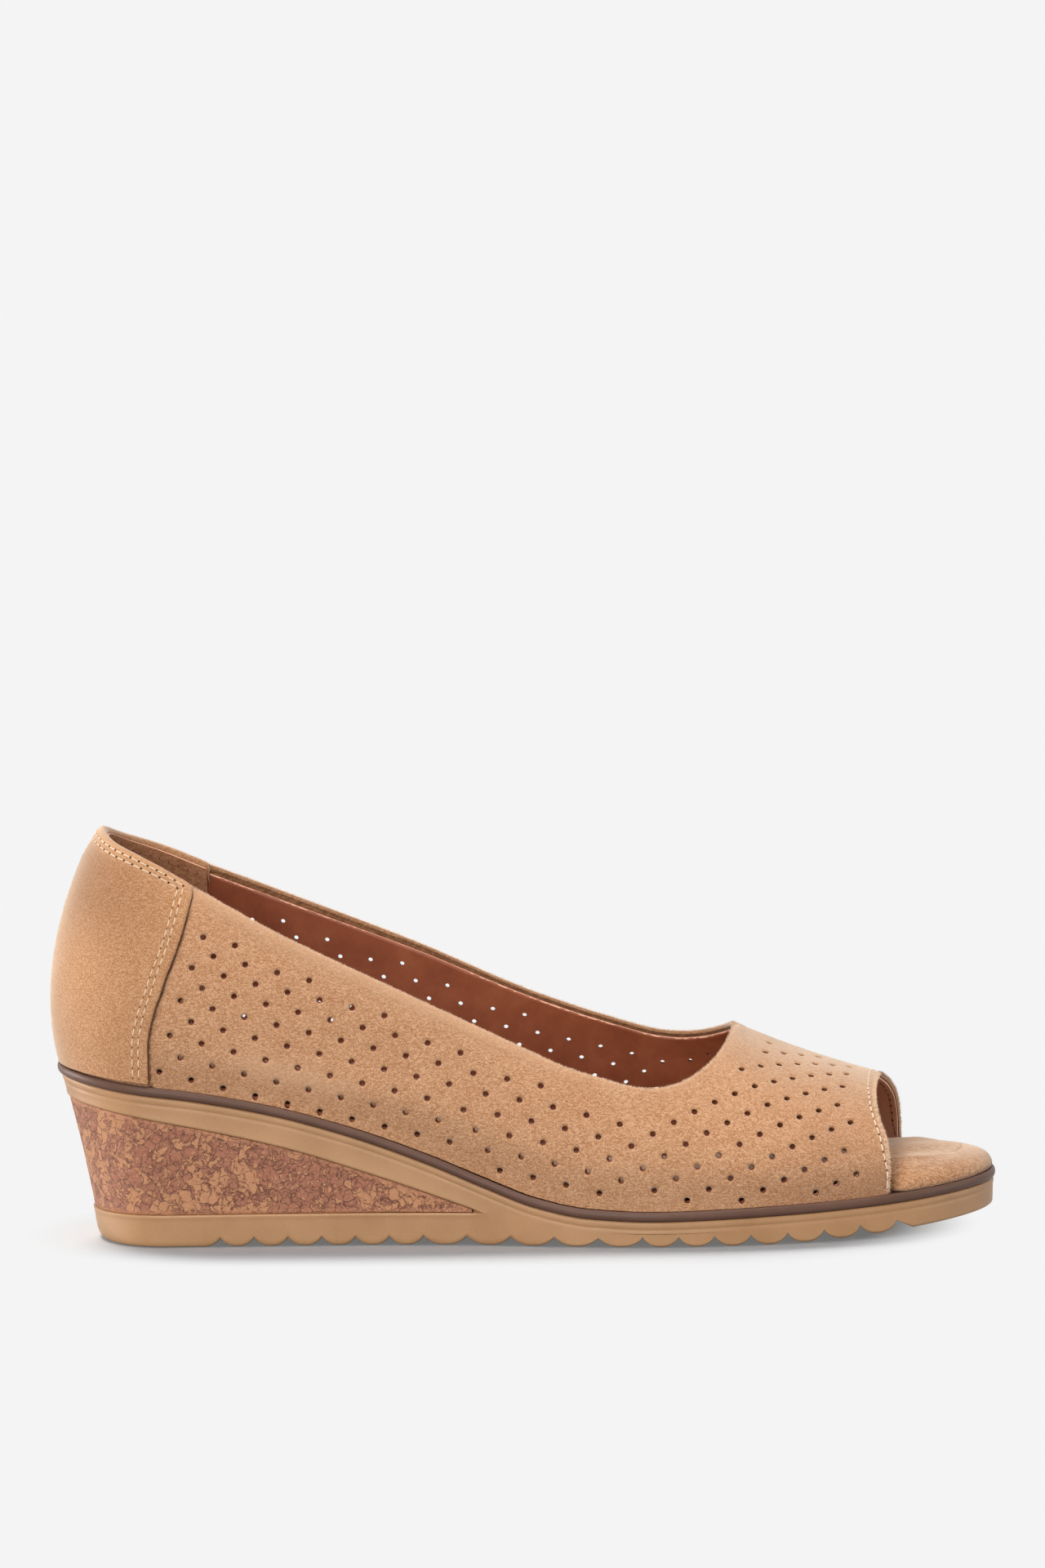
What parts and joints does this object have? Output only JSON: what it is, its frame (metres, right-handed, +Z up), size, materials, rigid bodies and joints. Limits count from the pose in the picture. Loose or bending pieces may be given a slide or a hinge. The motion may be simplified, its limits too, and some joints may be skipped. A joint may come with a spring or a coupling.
{
  "type": "peep-toe wedge shoe",
  "caption": "Slip-on wedge shoe for the right foot with an open peep toe, a hollow suede upper, a heel counter, a cork wedge and a rubber sole with a scalloped tread.",
  "frame": {"origin": "on the floor, under the middle of the shoe's box", "axes": "+X from heel to toe, +Y to the medial (inner) side, +Z up from the floor that the sole stands on"},
  "size_m": [0.246, 0.0828, 0.1079],
  "materials": {
    "tan_rubber": "moulded satin rubber, tan",
    "cork": "smooth sheet of pressed cork granules, red-brown and tan",
    "brown_welt": "satin brown welt with a rounded edge",
    "insole_suede": "soft padded faux suede, light tan",
    "upper_suede": "napped faux suede, tan, perforated",
    "counter_suede": "fine napped faux suede, tan, with two rows of stitches"
  },
  "bodies": {
    "root": {"outsole": "tan_rubber", "cork_wedge": "cork", "welt": "brown_welt", "insole": "insole_suede", "upper": "upper_suede", "heel_counter": "counter_suede"}
  },
  "joints": []
}
